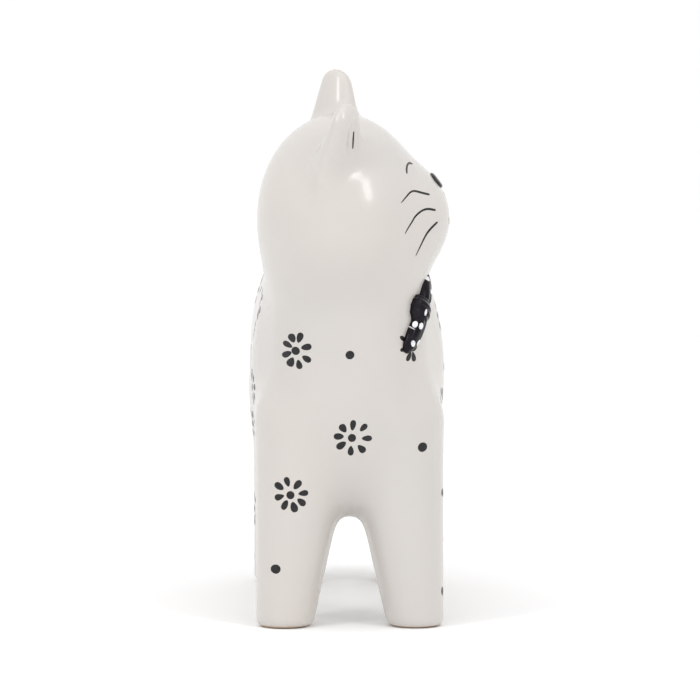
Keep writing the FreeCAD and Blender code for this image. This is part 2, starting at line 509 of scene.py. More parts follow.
def divided(net: Net, values: np.ndarray) -> tuple[Net, Net]:
    """Divide a mesh along the line where a value at its points passes zero.

    Args:
        net: The mesh.
        values: One value for each point.

    Returns:
        The part with positive values and the part with the others; they share the line's points.
    """
    above = values > 0.0
    count = above[net.faces].sum(1)
    mixed = net.faces[(count == 1) | (count == 2)]
    odd = np.where(above[mixed].sum(1) == 1, 1, 0)
    lone = np.argmax(above[mixed] == odd[:, None].astype(bool), axis=1)
    rolled = np.stack([mixed[np.arange(len(mixed)), (lone + k) % 3] for k in range(3)], 1)
    edges = np.sort(np.concatenate([rolled[:, [0, 1]], rolled[:, [0, 2]]]), axis=1)
    unique, place = np.unique(edges, axis=0, return_inverse=True)
    place = place.reshape(-1)
    share = values[unique[:, 0]] / (values[unique[:, 0]] - values[unique[:, 1]])
    share = share[:, None]
    new_points = net.points[unique[:, 0]] * (1 - share) + net.points[unique[:, 1]] * share
    new_normals = net.normals[unique[:, 0]] * (1 - share) + net.normals[unique[:, 1]] * share
    new_normals /= np.linalg.norm(new_normals, axis=1, keepdims=True) + 1e-12
    points = np.concatenate([net.points, new_points])
    normals = np.concatenate([net.normals, new_normals])
    first = place[: len(mixed)] + len(net.points)
    second = place[len(mixed) :] + len(net.points)
    tips = np.stack([rolled[:, 0], first, second], 1)
    rest = np.concatenate(
        [np.stack([first, rolled[:, 1], rolled[:, 2]], 1), np.stack([first, rolled[:, 2], second], 1)]
    )
    tip_above = odd.astype(bool)
    rest_above = np.concatenate([~tip_above, ~tip_above])
    upper = np.concatenate([net.faces[count == 3], tips[tip_above], rest[rest_above]])
    lower = np.concatenate([net.faces[count == 0], tips[~tip_above], rest[~rest_above]])
    return compacted(points, upper, normals), compacted(points, lower, normals)


def compacted(points: np.ndarray, faces: np.ndarray, normals: np.ndarray) -> Net:
    """Return a mesh that keeps only the points its faces use."""
    used, place = np.unique(faces, return_inverse=True)
    return Net(points[used], place.reshape(faces.shape), normals[used])


def make_object(name: str, net: Net, material: bpy.types.Material) -> bpy.types.Object:
    """Turn a mesh in millimetres into a smooth object in the scene.

    Args:
        name: The piece's name.
        net: Its mesh.
        material: Its finish.

    Returns:
        The new object.
    """
    mesh = bpy.data.meshes.new(name)
    mesh.from_pydata((net.points * MM).tolist(), [], net.faces.tolist())
    mesh.update()
    mesh.shade_smooth()
    mesh.normals_split_custom_set_from_vertices(net.normals.tolist())
    mesh.materials.append(material)
    made = bpy.data.objects.new(name, mesh)
    bpy.context.scene.collection.objects.link(made)
    return made


def finished(
    name: str, net: Net, material: bpy.types.Material, node: str = ""
) -> bpy.types.Object:
    """Build a piece, tie it to the figurine and log it.

    Args:
        name: The piece's name.
        net: Its mesh.
        material: Its finish.
        node: The clay node it stands for, if it stands for one.

    Returns:
        The new piece.
    """
    piece = make_object(name, net, material)
    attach(piece, "root")
    if node:
        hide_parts(node)
    LOG.info("%s: %d faces", piece.name, len(piece.data.polygons))
    return piece


def node_box(node: str) -> tuple[np.ndarray, np.ndarray]:
    """Return the corners of a node's box in millimetres."""
    low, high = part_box(node)
    return np.array(low) / MM, np.array(high) / MM


def direction(azimuth: float, elevation: float) -> Vector:
    """Return the unit vector towards an azimuth and an elevation in degrees; azimuth 0 is the front."""
    turn, rise = math.radians(azimuth), math.radians(elevation)
    return Vector((math.sin(turn) * math.cos(rise), -math.cos(turn) * math.cos(rise), math.sin(rise)))


def aimed(name: str, data: bpy.types.ID, target: Vector, back: Vector, distance: float) -> bpy.types.Object:
    """Stand a light or a camera back from a target, facing it, and return it."""
    made = bpy.data.objects.new(name, data)
    made.location = target + back * distance
    made.rotation_mode = "QUATERNION"
    made.rotation_quaternion = (-back).to_track_quat("-Z", "Y")
    bpy.context.scene.collection.objects.link(made)
    return made


# ---------------------------------------------------------------- finishes
class Colour(Enum):
    """Linear colours of the glaze, enamel and clay."""

    GLAZE_WARM = (0.550, 0.513, 0.480)
    GLAZE_COOL = (0.525, 0.500, 0.476)
    CLAY = (0.46, 0.33, 0.22)
    ENAMEL_THICK = (0.012, 0.012, 0.014)
    ENAMEL_THIN = (0.022, 0.020, 0.021)
    BOW_DEEP = (0.004, 0.003, 0.005)
    BOW_WORN = (0.016, 0.013, 0.018)
    DOT_WHITE = (0.84, 0.84, 0.85)
    DOT_GREY = (0.60, 0.61, 0.64)
    FLOOR = (0.93, 0.93, 0.93)
    FLOOR_SHADE = (0.90, 0.90, 0.90)


@dataclass(frozen=True)
class Graph:
    """Adds nodes to a material's tree and sets or links their sockets."""

    tree: bpy.types.NodeTree

    def set(self, socket: bpy.types.NodeSocket, value: Value) -> None:
        """Link a socket to another one, or give it a fixed value."""
        if isinstance(value, bpy.types.NodeSocket):
            self.tree.links.new(value, socket)
        else:
            socket.default_value = value

    def add(self, kind: str, **inputs: Value) -> bpy.types.Node:
        """Add a shader node of one kind and set its inputs by name."""
        node = self.tree.nodes.new(f"ShaderNode{kind}")
        for name, value in inputs.items():
            self.set(node.inputs[name], value)
        return node

    def span(self, value: bpy.types.NodeSocket, low: float, high: float) -> bpy.types.NodeSocket:
        """Return 0 where the value is at the low end and 1 where it is at the high end."""
        node = self.add("MapRange", Value=value)
        self.set(node.inputs["From Min"], low)
        self.set(node.inputs["From Max"], high)
        return node.outputs["Result"]

    def sum(self, operation: str, *values: Value) -> bpy.types.NodeSocket:
        """Return the result of one arithmetic operation."""
        node = self.add("Math")
        node.operation = operation
        for socket, value in zip(node.inputs, values):
            self.set(socket, value)
        return node.outputs["Value"]

    def mixed(self, share: bpy.types.NodeSocket, first: Value, second: Value) -> bpy.types.NodeSocket:
        """Return a colour between two, by the share of the second."""
        node = self.tree.nodes.new("ShaderNodeMix")
        node.data_type = "RGBA"
        for name, value in (("Factor", share), ("A", first), ("B", second)):
            self.set(node.inputs[name], value)
        return node.outputs["Result"]


@dataclass(frozen=True)
class Finish:
    """A glossy or matt finish whose colour and relief vary over the surface."""

    name: str
    first: Colour
    second: Colour
    mottle_scale: float
    roughness: float
    coat: float = 0.0
    shine: float = 0.5
    relief_scale: float = 180.0
    relief_depth: float = 0.00004
    speck_share: float = 0.0
    clay_below: float = 0.0

    def material(self) -> bpy.types.Material:
        """Build the node material.

        Returns:
            The new material.
        """
        made = bpy.data.materials.new(self.name)
        made.use_nodes = True
        graph = Graph(made.node_tree)
        shader = made.node_tree.nodes["Principled BSDF"]
        settings = {
            "Roughness": self.roughness,
            "Specular IOR Level": self.shine,
            "Coat Weight": self.coat,
            "Coat Roughness": 0.10,
        }
        for socket, value in settings.items():
            shader.inputs[socket].default_value = value
        place = graph.add("TexCoord")
        at = place.outputs["Object"]
        mottle = graph.add("TexNoise", Vector=at, Scale=self.mottle_scale, Detail=4.0)
        spread = graph.span(mottle.outputs["Fac"], 0.35, 0.65)
        colour = graph.mixed(spread, (*self.first.value, 1.0), (*self.second.value, 1.0))
        if self.speck_share > 0.0:
            colour = self._specked(graph, at, colour)
        if self.clay_below > 0.0:
            colour = self._with_clay(graph, at, colour)
        graph.set(shader.inputs["Base Color"], colour)
        relief = graph.add("TexNoise", Vector=at, Scale=self.relief_scale, Detail=2.0)
        bump = graph.add("Bump", Distance=self.relief_depth, Height=relief.outputs["Fac"])
        graph.set(shader.inputs["Normal"], bump.outputs["Normal"])
        return made

    def _specked(self, graph: Graph, at: bpy.types.NodeSocket, colour: Value) -> bpy.types.NodeSocket:
        """Add a few tiny iron specks to the colour."""
        cells = graph.add("TexVoronoi", Vector=at, Scale=260.0)
        near = graph.span(cells.outputs["Distance"], self.speck_share, self.speck_share * 0.4)
        pick = graph.sum("GREATER_THAN", cells.outputs["Color"], 0.93)
        return graph.mixed(graph.sum("MULTIPLY", near, pick), colour, (0.50, 0.43, 0.37, 1.0))

    def _with_clay(self, graph: Graph, at: bpy.types.NodeSocket, colour: Value) -> bpy.types.NodeSocket:
        """Show bare clay at the soles, up to an uneven glaze line."""
        split = graph.add("SeparateXYZ", Vector=at)
        edge = graph.add("TexNoise", Vector=at, Scale=220.0)
        wave = graph.sum("MULTIPLY_ADD", edge.outputs["Fac"], -self.clay_below, split.outputs["Z"])
        below = graph.span(wave, 0.0002, -0.0001)
        return graph.mixed(below, colour, (*Colour.CLAY.value, 1.0))


GLAZE = Finish(
    "white_glaze", Colour.GLAZE_WARM, Colour.GLAZE_COOL, 22.0, 0.25, 0.35, 0.5, 60.0, 0.00012, 0.10, 0.0012
)
ENAMEL = Finish(
    "black_enamel", Colour.ENAMEL_THICK, Colour.ENAMEL_THIN, 420.0, 0.24, 0.0, 0.25, 900.0, 0.00002
)
BOW_GLAZE = Finish("bow_glaze", Colour.BOW_DEEP, Colour.BOW_WORN, 260.0, 0.16, 0.0, 0.10, 420.0, 0.00012)
DOT_PAINT = Finish("dot_paint", Colour.DOT_WHITE, Colour.DOT_GREY, 700.0, 0.25, 0.1, 0.5, 900.0, 0.00003)
FLOOR = Finish("pale_floor", Colour.FLOOR, Colour.FLOOR_SHADE, 3.0, 0.7, 0.0, 0.2, 200.0, 0.00001)


# ---------------------------------------------------------------- glazed skin
@dataclass(frozen=True)
class Skin:
    """The glazed skin, divided into the same pieces as the clay."""

    form: CatForm
    pitch: float = 1.0
    low: tuple[float, float, float] = (-36.0, -80.0, -3.0)
    high: tuple[float, float, float] = (36.0, 80.0, 172.0)
    seam_slope: float = 21.0
    seam_front: tuple[float, float, float] = (0.0, -60.0, 96.0)
    ear_reach: float = 17.0
    ear_lift: float = 0.7

    def seam(self, points: np.ndarray) -> np.ndarray:
        """Return the height of each point above the plane of the neck joint."""
        slope = math.radians(self.seam_slope)
        upward = np.array([0.0, -math.sin(slope), math.cos(slope)])
        return (points - np.array(self.seam_front)) @ upward

    def ear_share(self, points: np.ndarray, ear: Ear) -> np.ndarray:
        """Return a value that is positive only on one ear."""
        q = self.form.head.local(points)
        root, tip = ear.axis_ends()
        away = np.linalg.norm(np.cross(q - root, (tip - root) / np.linalg.norm(tip - root)), axis=-1)
        beyond_skull = self.form.head.skull.distance(q) - self.ear_lift
        return np.minimum(np.minimum(beyond_skull, self.ear_reach - away), q[..., 2] - 8.0)

    def tail_share(self, points: np.ndarray) -> np.ndarray:
        """Return a value that is positive only on the tail."""
        beyond_rump = self.form.torso.distance(points) - self.ear_lift
        return np.minimum(np.minimum(beyond_rump, points[..., 1] - 40.0), points[..., 2] - 90.0)

    def build(self) -> list[bpy.types.Object]:
        """Mesh the form and build its five pieces.

        Returns:
            The pieces, each standing for its clay node.
        """
        whole = net_from_form(self.form.distance, np.array(self.low), np.array(self.high), self.pitch)
        glaze = GLAZE.material()
        made = []
        for node, ear in (("right_ear", self.form.head.right_ear), ("left_ear", self.form.head.left_ear)):
            piece, whole = divided(whole, self.ear_share(whole.points, ear))
            made.append((node, piece))
        piece, whole = divided(whole, self.tail_share(whole.points))
        made.append(("tail", piece))
        above, below = divided(whole, self.seam(whole.points))
        made.append(("head_casting", above))
        made.append(("body_casting", below))
        return [finished(f"{node}_skin", net, glaze, node) for node, net in made]


# ---------------------------------------------------------------- painting
@dataclass(frozen=True)
class Canvas:
    """A flat sheet of marks that is laid onto a form along one direction."""

    right: tuple[float, float, float]
    up: tuple[float, float, float]
    inward: tuple[float, float, float]
    origin: tuple[float, float, float] = (0.0, 0.0, 0.0)
    start: float = -120.0
    reach: float = 240.0

    def cast(self, form: Form, flat: np.ndarray) -> np.ndarray:
        """Lay sheet points onto the form.

        Args:
            form: Function from points to distances.
            flat: Sheet points, one pair per row, in millimetres.

        Returns:
            The points on the form's surface.
        """
        inward = np.array(self.inward)
        points = np.array(self.origin) + flat[:, :1] * np.array(self.right) + flat[:, 1:] * np.array(self.up)
        points = points + inward * self.start
        gone = np.zeros(len(points))
        for _ in range(90):
            step = np.where(gone < self.reach, form(points) * 0.8, 0.0)
            points = points + inward * step[:, None]
            gone += step
        return points


FRONT = Canvas((1.0, 0.0, 0.0), (0.0, 0.0, 1.0), (0.0, 1.0, 0.0))
BACK = Canvas((-1.0, 0.0, 0.0), (0.0, 0.0, 1.0), (0.0, -1.0, 0.0))
RIGHT_FLANK = Canvas((0.0, -1.0, 0.0), (0.0, 0.0, 1.0), (1.0, 0.0, 0.0))
LEFT_FLANK = Canvas((0.0, 1.0, 0.0), (0.0, 0.0, 1.0), (-1.0, 0.0, 0.0))
TOP = Canvas((1.0, 0.0, 0.0), (0.0, 1.0, 0.0), (0.0, 0.0, -1.0), start=-200.0, reach=260.0)


@dataclass
class Patch:
    """Flat points and faces of one mark, with the paint's height at each point."""

    flat: np.ndarray
    height: np.ndarray
    faces: np.ndarray


@dataclass(frozen=True)
class Blob:
    """A drop of enamel: round for a dot, long and narrow at one end for a petal."""

    centre: tuple[float, float]
    length: float
    width: float
    angle: float = 0.0
    taper: float = 0.0
    rings: int = 5
    sides: int = 22

    def patch(self) -> Patch:
        """Return the drop as rings of points around its middle."""
        turn = np.linspace(0.0, 2.0 * math.pi, self.sides, endpoint=False)
        along = np.cos(turn) * self.length / 2.0
        across = np.sin(turn) * self.width / 2.0 * (1.0 + self.taper * np.cos(turn))
        c, s = math.cos(math.radians(self.angle)), math.sin(math.radians(self.angle))
        rim = np.stack([along * c - across * s, along * s + across * c], 1)
        shares = np.linspace(0.0, 1.0, self.rings + 1)[1:]
        flat = np.concatenate([np.zeros((1, 2))] + [rim * share for share in shares]) + np.array(self.centre)
        height = np.concatenate([[0.0]] + [np.full(self.sides, share) for share in shares])
        faces = [(0, 1 + k, 1 + (k + 1) % self.sides) for k in range(self.sides)]
        for ring in range(self.rings - 1):
            a, b = 1 + ring * self.sides, 1 + (ring + 1) * self.sides
            for k in range(self.sides):
                n = (k + 1) % self.sides
                faces += [(a + k, b + k, b + n), (a + k, b + n, a + n)]
        return Patch(flat, height, np.array(faces))


@dataclass(frozen=True)
class Stroke:
    """A brush stroke along a smooth line; each station gives its place and width."""

    stations: tuple[tuple[float, float, float], ...]
    step: float = 0.35
    lanes: int = 7

    def moved(self, right: float, up: float, thickness: float) -> "Stroke":
        """Return the stroke at another place, its widths times the thickness."""
        return Stroke(tuple((x + right, y + up, width * thickness) for x, y, width in self.stations))

    def patch(self) -> Patch:
        """Return the stroke as a ribbon with rounded ends."""
        knots = np.array(self.stations)
        knots = np.concatenate([[2 * knots[0] - knots[1]], knots, [2 * knots[-1] - knots[-2]]])
        line = []
        for i in range(1, len(knots) - 2):
            p0, p1, p2, p3 = knots[i - 1 : i + 3]
            count = max(3, int(np.linalg.norm((p2 - p1)[:2]) / self.step))
            for t in np.linspace(0.0, 1.0, count, endpoint=i == len(knots) - 3):
                square = (2 * p0 - 5 * p1 + 4 * p2 - p3) * t**2
                cube = (3 * p1 - p0 - 3 * p2 + p3) * t**3
                line.append(0.5 * (2 * p1 + (p2 - p0) * t + square + cube))
        line = np.array(line)
        travelled = np.concatenate([[0.0], np.cumsum(np.linalg.norm(np.diff(line[:, :2], axis=0), axis=1))])
        half = line[:, 2] / 2.0
        near_end = np.minimum(travelled, travelled[-1] - travelled)
        to_end = np.clip(near_end / np.maximum(half, 0.05), 0.0, 1.0)
        cap = np.sqrt(np.clip(1.0 - (1.0 - to_end) ** 2, 0.02, 1.0))
        ahead = np.gradient(line[:, :2], axis=0)
        ahead /= np.linalg.norm(ahead, axis=1, keepdims=True)
        aside = np.stack([-ahead[:, 1], ahead[:, 0]], 1)
        lanes = np.linspace(-1.0, 1.0, self.lanes)
        flat = line[:, None, :2] + aside[:, None] * (half * cap)[:, None, None] * lanes[None, :, None]
        height = np.maximum(np.abs(lanes)[None], (1.0 - cap)[:, None])
        faces = []
        for i in range(len(line) - 1):
            for k in range(self.lanes - 1):
                a, b = i * self.lanes + k, (i + 1) * self.lanes + k
                faces += [(a, b, b + 1), (a, b + 1, a + 1)]
        return Patch(flat.reshape(-1, 2), height.reshape(-1), np.array(faces))


@dataclass
class Painter:
    """Lays marks onto a form and gathers them into pieces."""

    form: Form
    crown: float = 0.07
    sunk: float = 0.03
    longest_side: float = 2.0

    def piece(self, name: str, marks: list, finish: Finish, slot: str) -> bpy.types.Object:
        """Lay marks onto the form as one piece.

        Args:
            name: The piece's name.
            marks: Pairs of a canvas and a mark.
            finish: The paint.
            slot: The record's material slot the paint belongs to; not used.

        Returns:
            The new piece.
        """
        points, faces, heights = [], [], []
        missed = []
        count = 0
        for canvas in {id(c): c for c, _ in marks}.values():
            patches = [mark.patch() for c, mark in marks if c is canvas]
            flat = np.concatenate([patch.flat for patch in patches])
            laid = canvas.cast(self.form, flat)
            points.append(laid)
            missed.append(np.abs(self.form(laid)) > self.crown * 4.0)
            for patch in patches:
                faces.append(patch.faces + count)
                heights.append(patch.height)
                count += len(patch.flat)
        points = settle(self.form, np.concatenate(points), 3)
        normals = gradient(self.form, points)
        height = np.concatenate(heights)
        lift = (self.crown + self.sunk) * (1.0 - height**4) - self.sunk
        points = points + normals * lift[:, None]
        missed = np.concatenate(missed)
        whole = []
        for patch_faces in faces:
            landed = patch_faces[~missed[patch_faces].any(1)]
            sides = points[landed] - points[np.roll(landed, 1, axis=1)]
            if np.linalg.norm(sides, axis=-1).max(initial=0.0) <= self.longest_side:
                whole.append(landed)
        faces = np.concatenate(whole)
        a, b, c = (points[faces[:, k]] for k in range(3))
        wrong = (np.cross(b - a, c - a) * normals[faces[:, 0]]).sum(1) < 0.0
        faces[wrong] = faces[wrong][:, ::-1]
        return finished(name, compacted(points, faces, normals), finish.material())


@dataclass(frozen=True)
class Flower:
    """Eight uneven petals around a dot; every petal has its own place, as a hand sets it down."""

    centre: tuple[float, float]
    petals: tuple[tuple[float, float], ...] = ()
    turn: float = 0.0
    reach: float = 3.9
    petal_length: float = 3.4
    petal_width: float = 2.15
    dot: float = 2.75
    seed: int = 0

    def marks(self) -> list[Blob]:
        """Return the dot and the petals."""
        hand = np.random.default_rng(self.seed)
        middle = np.array(self.centre)
        places = self.petals
        if not places:
            angles = np.radians(self.turn + 45.0 * np.arange(8) + hand.uniform(-7.0, 7.0, 8))
            reach = self.reach * hand.uniform(0.92, 1.08, 8)
            places = [tuple(middle + r * np.array([math.cos(a), math.sin(a)])) for a, r in zip(angles, reach)]
        made = [Blob(self.centre, self.dot * hand.uniform(0.95, 1.08), self.dot)]
        for place in places:
            way = np.array(place) - middle
            angle = math.degrees(math.atan2(way[1], way[0])) + hand.uniform(-9.0, 9.0)
            made.append(
                Blob(
                    tuple(place),
                    self.petal_length * hand.uniform(0.88, 1.1),
                    self.petal_width * hand.uniform(0.85, 1.12),
                    angle,
                    hand.uniform(0.18, 0.42),
                )
            )
        return made


@dataclass(frozen=True)
class Decoration:
    """Everything painted on the white glaze, as places on the five sides in millimetres."""

    form: CatForm
    chest_flowers: tuple[Flower, ...] = (
        Flower(
            (-16.42, 83.82),
            (
                (-17.45, 87.55), (-15.21, 87.84), (-13.27, 85.13), (-13.19, 81.65),
                (-15.43, 79.84), (-17.81, 80.42), (-19.02, 82.63), (-18.75, 85.49),
            ),
            seed=1,
        ),
        Flower(
            (0.29, 58.09),
            (
                (0.56, 61.95), (3.73, 61.21), (4.77, 57.91), (3.15, 54.76),
                (-0.04, 54.13), (-2.88, 55.83), (-3.64, 58.53), (-2.35, 61.0),
            ),
            seed=2,
        ),
        Flower(
            (-18.02, 40.53),
            (
                (-15.93, 43.66), (-14.17, 41.12), (-14.74, 38.48), (-16.98, 36.94),
                (-19.7, 37.54), (-21.33, 39.86), (-21.39, 43.04), (-18.97, 44.5),
            ),
            seed=3,
        ),
        Flower(
            (18.7, 84.6),
            (
                (15.9, 87.2), (16.2, 84.2), (17.5, 82.0),
                (18.9, 81.8), (19.6, 87.6), (17.6, 88.4),
            ),
            petal_length=3.1, petal_width=1.5, seed=4,
        ),
    )
    chest_dots: tuple[tuple[float, float], ...] = (
        (-0.36, 83.09),
        (21.58, 54.67),
        (-22.47, 18.15),
    )

    dot_size: float = 2.9

    def flowers(self) -> list:
        """Return the flowers of all sides as pairs of canvas and mark."""
        layouts = (
            (
                RIGHT_FLANK,
                (
                    (26.0, 70.0), (26.0, 96.0), (-12.0, 52.0), (6.0, 88.0), (-20.0, 74.0),
                    (-40.0, 95.0), (-42.0, 52.0), (-58.0, 76.0), (-48.0, 24.0),
                ),
            ),
            (
                LEFT_FLANK,
                (
                    (-24.0, 92.0), (-31.0, 65.0), (-8.0, 94.0), (-8.0, 66.0), (16.0, 78.0),
                    (36.0, 96.0), (38.0, 56.0), (58.0, 80.0), (-42.0, 26.0), (47.0, 26.0),
                ),
            ),
            (BACK, ((-12.0, 84.0), (13.0, 62.0), (-16.0, 42.0), (18.0, 22.0))),
            (TOP, ((-10.0, 2.0), (12.0, 18.0), (-8.0, 36.0))),
        )
        pairs = [(FRONT, mark) for flower in self.chest_flowers for mark in flower.marks()]
        for side, (canvas, places) in enumerate(layouts):
            for index, place in enumerate(places):
                seed = 100 * (side + 1) + index
                flower = Flower(place, turn=17.0 * index, seed=seed)
                pairs += [(canvas, mark) for mark in flower.marks()]
        return pairs

    def dots(self) -> list:
        """Return the lone dots of all sides as pairs of canvas and mark."""
        layouts = (
            (FRONT, self.chest_dots),
            (
                RIGHT_FLANK,
                (
                    (22.0, 88.0), (20.0, 46.0), (-6.0, 72.0), (-24.0, 96.0), (-26.0, 50.0),
                    (-54.0, 58.0), (44.0, 16.0), (-52.0, 8.0),
                ),
            ),
            (
                LEFT_FLANK,
                (
                    (-26.0, 76.0), (-26.0, 48.0), (2.0, 78.0), (22.0, 94.0), (22.0, 54.0),
                    (48.0, 66.0), (-48.5, 40.1), (-51.5, 10.6), (50.0, 44.0),
                ),
            ),
            (BACK, ((2.0, 72.0), (-2.0, 48.0), (-20.0, 16.0))),
            (TOP, ((2.0, 8.0), (-2.0, 22.0), (8.0, 34.0))),
        )
        pairs = []
        for side, (canvas, places) in enumerate(layouts):
            hand = np.random.default_rng(700 + side)
            for place in places:
                size = self.dot_size * hand.uniform(0.94, 1.08)
                pairs.append((canvas, Blob(place, size * 1.05, size, hand.uniform(0.0, 90.0))))
        return pairs

    def face_near(self) -> list:
        """Return the strokes of the right side of the face."""
        strokes = (
            Stroke(
                (
                    (16.65, 136.3, 0.55), (16.6, 137.8, 0.75), (16.95, 138.95, 0.8),
                    (17.6, 139.3, 0.8), (18.7, 138.85, 0.6),
                )
            ),
            Stroke(
                (
                    (23.67, 129.91, 0.75), (21.44, 130.54, 0.8), (18.85, 131.29, 0.75),
                    (17.51, 130.94, 0.7), (16.06, 129.54, 0.55), (14.57, 127.99, 0.3),
                )
            ),
            Stroke(
                (
                    (25.48, 125.27, 0.8), (22.96, 125.82, 0.85), (21.04, 125.39, 0.75),
                    (19.15, 123.99, 0.7), (18.05, 122.38, 0.6), (16.49, 120.02, 0.45),
                    (15.82, 118.74, 0.25),
                )
            ),
            Stroke(
                (
                    (26.0, 121.88, 0.8), (23.66, 119.8, 0.85), (22.13, 117.78, 0.7),
                    (20.34, 114.21, 0.5), (19.16, 111.82, 0.25),
                )
            ),
        )
        return [(FRONT, stroke.moved(0.15, 0.3, 0.9)) for stroke in strokes]

    def mirrored_front(self) -> Canvas:
        """Return the front canvas as seen in a mirror between the two halves of the face."""
        head = self.form.head
        middle = np.array(head.middle)
        left = rotation(head.turn, head.tilt)[:, 1]
        flip = np.eye(3) - 2.0 * np.outer(left, left)
        origin = flip @ (-middle) + middle
        return Canvas(tuple(flip[:, 0]), tuple(flip[:, 2]), tuple(flip[:, 1]), tuple(origin))

    def face_canvas(self) -> Canvas:
        """Return a canvas square to the face, its origin at the middle of the head."""
        head = self.form.head
        axes = rotation(head.turn, head.tilt)
        return Canvas(tuple(axes[:, 1]), tuple(axes[:, 2]), tuple(-axes[:, 0]), head.middle, -60.0, 120.0)

    def face(self) -> list:
        """Return eyes, whiskers and ear lines of both sides."""
        near = self.face_near()
        near.append((FRONT, Stroke(((0.65, 149.9, 0.45), (0.5, 147.3, 0.6), (0.35, 144.5, 0.45)))))
        mirrored = self.mirrored_front()
        return near + [(mirrored, stroke) for _, stroke in near]

    def mouth(self) -> list:
        """Return the mouth: a curl to each side below the nose."""
        canvas = self.face_canvas()
        pairs = []
        for side in (-1.0, 1.0):
            curl = (
                (0.0, 2.4, 0.5),
                (side * 0.9, 0.2, 0.65),
                (side * 3.0, -1.4, 0.7),
                (side * 5.4, -0.9, 0.6),
                (side * 7.0, 1.2, 0.35),
            )
            pairs.append((canvas, Stroke(curl)))
        pairs.append((canvas, Stroke(((0.0, 7.6, 0.5), (0.0, 5.0, 0.6), (0.0, 2.6, 0.55)))))
        return pairs

    def build(self) -> list[bpy.types.Object]:
        """Paint every mark.

        Returns:
            The painted pieces.
        """
        painter = Painter(self.form.distance)
        work = (
            ("painted_flowers", self.flowers()),
            ("painted_dots", self.dots()),
            ("painted_face", self.face()),
            ("painted_mouth", self.mouth()),
        )
        return [painter.piece(name, marks, ENAMEL, "black_enamel") for name, marks in work]


# ---------------------------------------------------------------- nose and bow
@dataclass(frozen=True)
class Nose:
    """The black nose: a small rounded pellet on the muzzle."""

    form: CatForm
    pitch: float = 0.3
    rise: float = 0.75
    forward: tuple[float, float, float] = (0.8, 0.0, -0.4)

    def distance(self, points: np.ndarray) -> np.ndarray:
        """Return the distance of each point from the pellet."""
        low, high = node_box("nose")
        middle, half = (low + high) / 2.0 + np.array(self.forward), (high - low) / 2.0
        pellet = Ellipsoid(tuple(middle), tuple(half + np.array([0.6, 0.0, 0.0]))).distance(points)
        near_skin = self.form.distance(points) - self.rise
        return smooth_max(pellet, near_skin, 1.4)

    def build(self) -> bpy.types.Object:
        """Mesh the nose.

        Returns:
            The finished piece.
        """
        low, high = node_box("nose")
        net = net_from_form(self.distance, low - 2.0, high + 2.0, self.pitch)
        return finished("nose_glaze", net, ENAMEL.material(), "nose")


